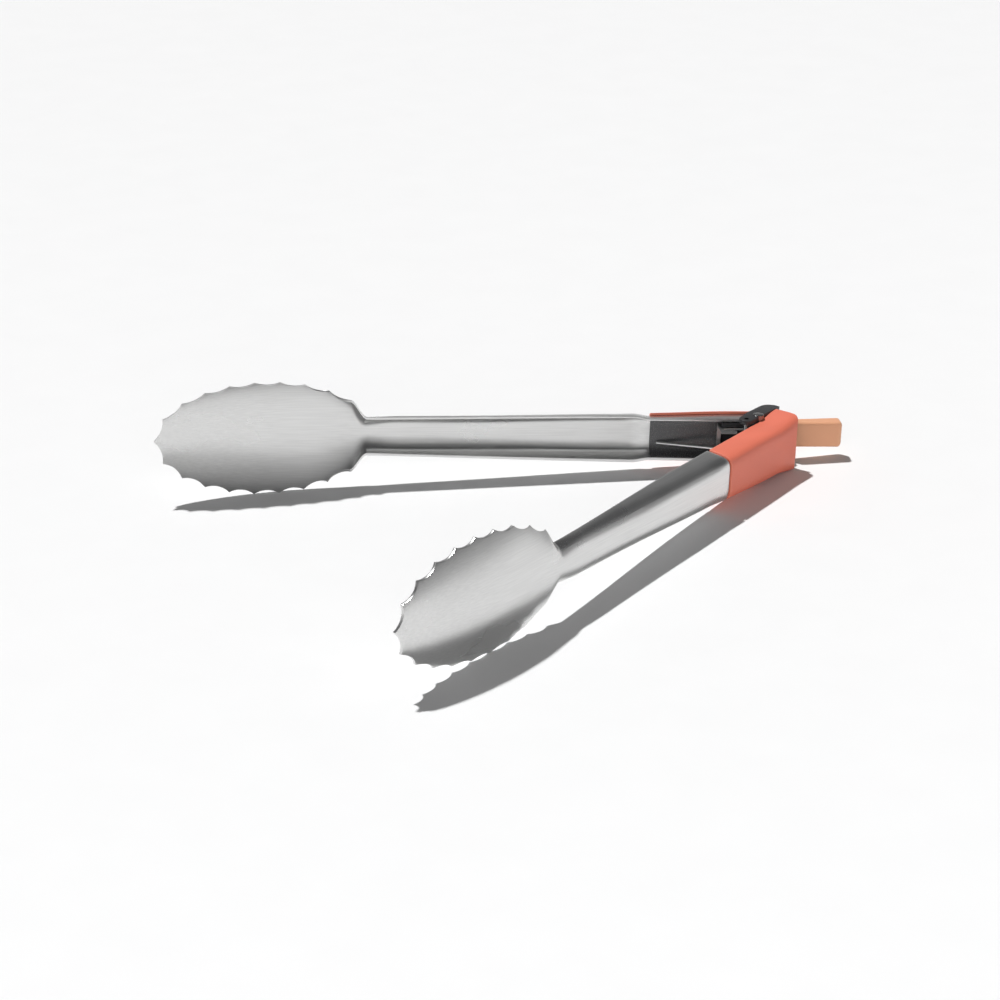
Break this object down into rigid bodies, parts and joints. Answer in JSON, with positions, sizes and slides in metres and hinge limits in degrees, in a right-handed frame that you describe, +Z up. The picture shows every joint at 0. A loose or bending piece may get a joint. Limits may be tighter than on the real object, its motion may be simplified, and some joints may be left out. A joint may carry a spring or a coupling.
{
  "type": "spring loaded kitchen tongs",
  "caption": "Spring loaded kitchen tongs with scalloped bowl heads, moulded grips and a pull tab that slides a hook to lock the arms closed.",
  "frame": {"origin": "centre of the pivot pin's lower rivet head, on its outer face", "axes": "+X along the rear arm from its head to the pull tab, +Z up along the hinge pin with the tongs lying on their side, +Y from the closing plane to the back of the rear arm; the front arm is open towards -Y"},
  "size_m": [0.2633, 0.1902, 0.0444],
  "materials": {
    "steel": "brushed along the arms",
    "sleeve": "soft satin, coral",
    "insert": "moulded, dark grey",
    "fastener": "plain",
    "spring": "drawn wire",
    "plate": "stamped",
    "tab": "soft satin, peach"
  },
  "bodies": {
    "rear_arm": {"rear_arm": "steel", "rear_sleeve": "sleeve", "rear_hinge_block": "insert", "rear_block_rivets": "fastener", "pivot_pin": "fastener", "spring_coil": "spring"},
    "front_arm": {"front_arm": "steel", "front_sleeve": "sleeve", "front_hinge_block": "insert", "front_block_rivets": "fastener", "catch_pin": "fastener", "spring_moving_leg": "spring"},
    "lock": {"lock_plate": "plate", "pull_tab": "tab"}
  },
  "joints": [
    {"name": "hinge", "type": "hinge", "parent": "rear_arm", "child": "front_arm", "pos_m": [0, 0, 0.012], "axis": [0, 0, -1], "range_deg": [0, 49.3], "stiffness_Nm_per_rad": 0.25, "springref_deg": -22.92},
    {"name": "lock_slide", "type": "slide", "parent": "rear_arm", "child": "lock", "axis": [1, 0, 0], "range_m": [0, 0.005]}
  ]
}
